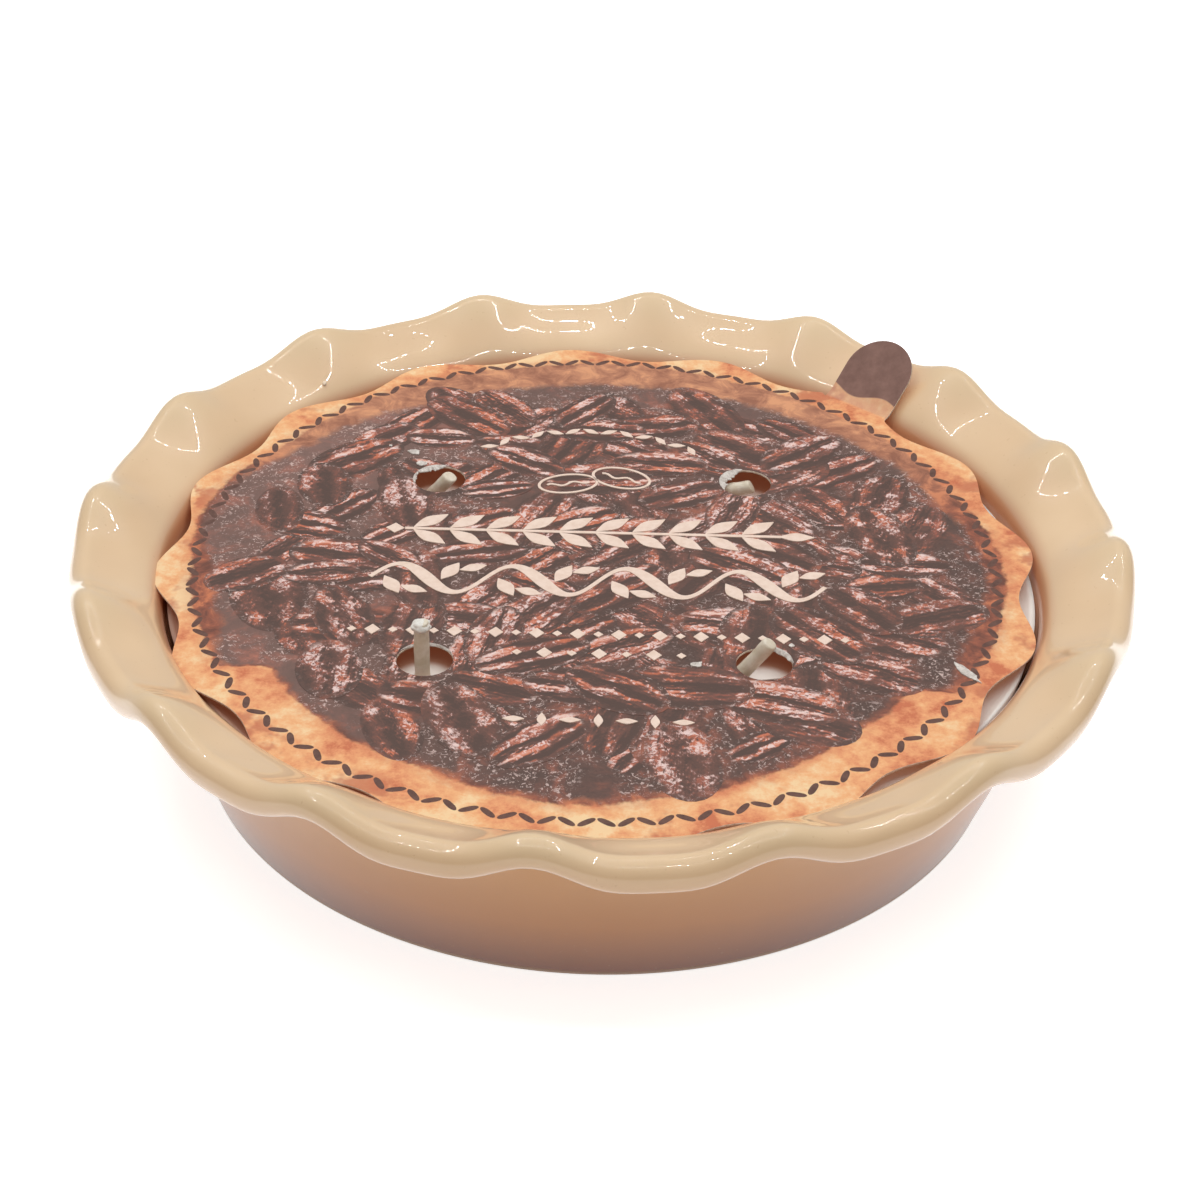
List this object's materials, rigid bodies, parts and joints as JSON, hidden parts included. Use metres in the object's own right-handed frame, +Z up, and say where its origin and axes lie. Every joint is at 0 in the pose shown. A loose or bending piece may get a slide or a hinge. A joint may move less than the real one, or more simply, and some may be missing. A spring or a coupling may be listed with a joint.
{
  "type": "four-wick candle in a fluted pie dish",
  "caption": "Scented candle poured into a fluted ceramic pie dish, under a printed card dust cover with wick holes and a pull tab.",
  "frame": {"origin": "centre of the dish's foot, on the surface it stands on", "axes": "+Z up; +Y away from the viewer, towards the back pair of wicks; the pull tab is at the back right"},
  "size_m": [0.2658, 0.2658, 0.0621],
  "materials": {
    "glaze": "gloss",
    "wax": "satin",
    "wick": "matte",
    "printed_card": "satin"
  },
  "bodies": {
    "root": {"dish": "glaze", "wax": "wax", "wick_front_left": "wick", "wick_front_right": "wick", "wick_back_left": "wick", "wick_back_right": "wick", "card": "printed_card"}
  },
  "joints": []
}
